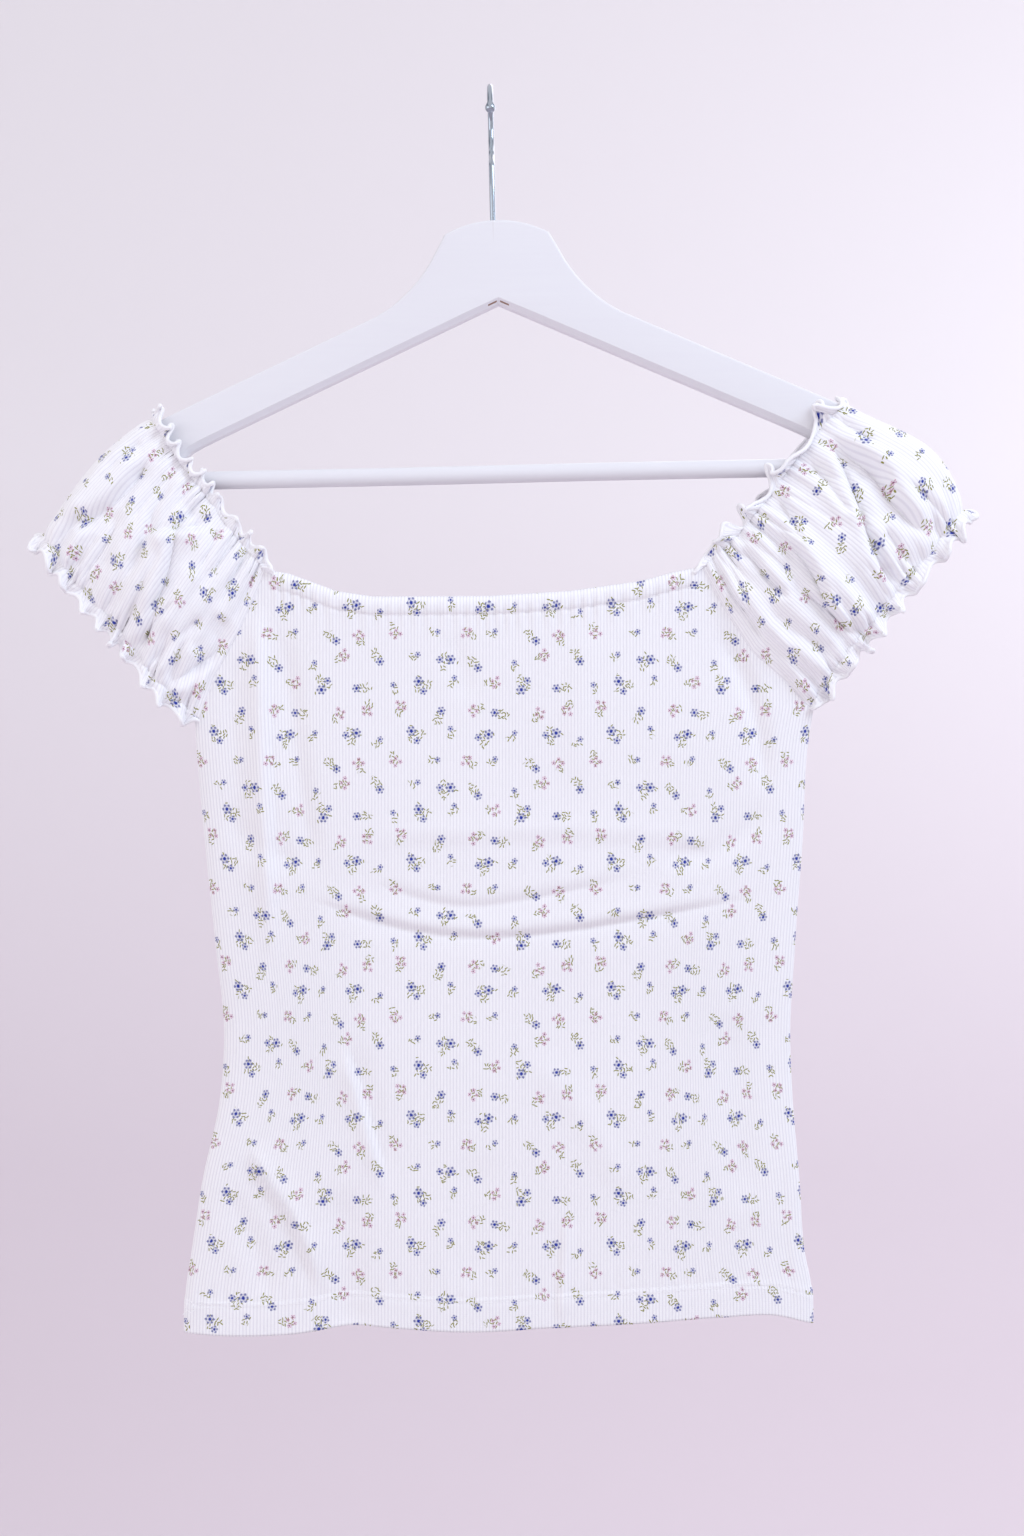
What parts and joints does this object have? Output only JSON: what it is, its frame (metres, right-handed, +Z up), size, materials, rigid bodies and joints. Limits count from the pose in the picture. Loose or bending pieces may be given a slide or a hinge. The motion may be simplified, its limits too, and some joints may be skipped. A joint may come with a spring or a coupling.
{
  "type": "off-shoulder top on a hanger",
  "caption": "Cropped off-shoulder rib-knit top with short gathered puff sleeves and lettuce-edged ruffles, hanging on a flat wooden hanger.",
  "frame": {"origin": "top of the rail that the hanger hangs on: the underside of the hook's crown, in the wire's plane", "axes": "+X to the right seen from the front, +Y from the front to the back, +Z up"},
  "size_m": [0.5634, 0.0551, 0.7478],
  "materials": {
    "knit": "rib-knit cotton jersey with a small printed flower pattern",
    "paint": "white satin paint on wood",
    "wire": "bright plated steel wire"
  },
  "bodies": {
    "root": {"body_front": "knit", "body_back": "knit", "sleeve_left": "knit", "sleeve_right": "knit", "hanger_body": "paint", "hanger_bar": "paint", "hanger_hook": "wire"}
  },
  "joints": []
}
